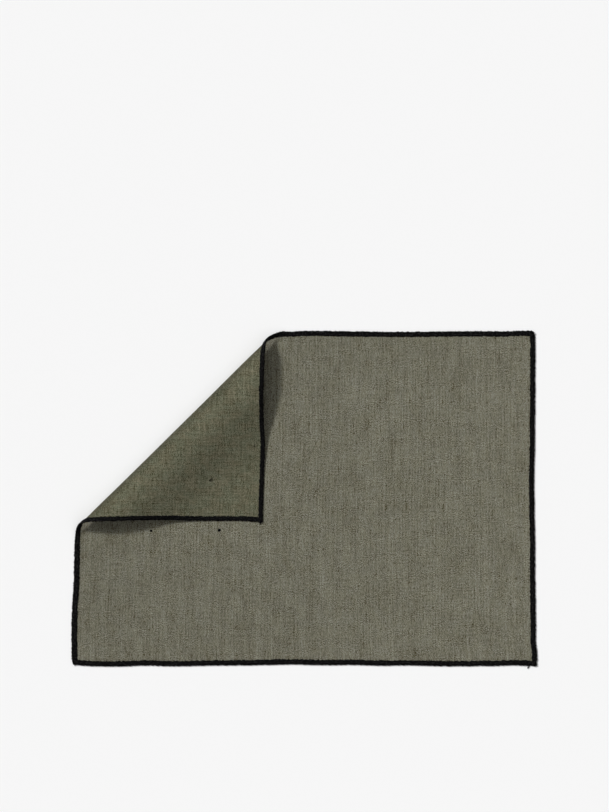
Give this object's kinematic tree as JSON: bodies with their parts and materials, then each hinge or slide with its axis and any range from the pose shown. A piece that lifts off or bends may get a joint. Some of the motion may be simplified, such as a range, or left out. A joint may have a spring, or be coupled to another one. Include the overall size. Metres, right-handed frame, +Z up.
{
  "type": "fabric placemat",
  "caption": "Rectangular linen placemat with black overlocked edging, lying flat with its upper left corner folded over in a soft roll.",
  "frame": {"origin": "middle of the mat's overall outline, on the table it lies on", "axes": "+X to the right along the long side, +Y towards the edge beside the folded corner, +Z up"},
  "size_m": [0.483, 0.348, 0.0209],
  "materials": {
    "linen": "matt plain-woven linen in grey khaki with darker slubs, more olive on the reverse",
    "edging_thread": "matt black overlock thread"
  },
  "bodies": {
    "root": {"cloth": "linen", "edging_top": "edging_thread", "edging_right": "edging_thread", "edging_bottom": "edging_thread", "edging_left": "edging_thread"}
  },
  "joints": []
}
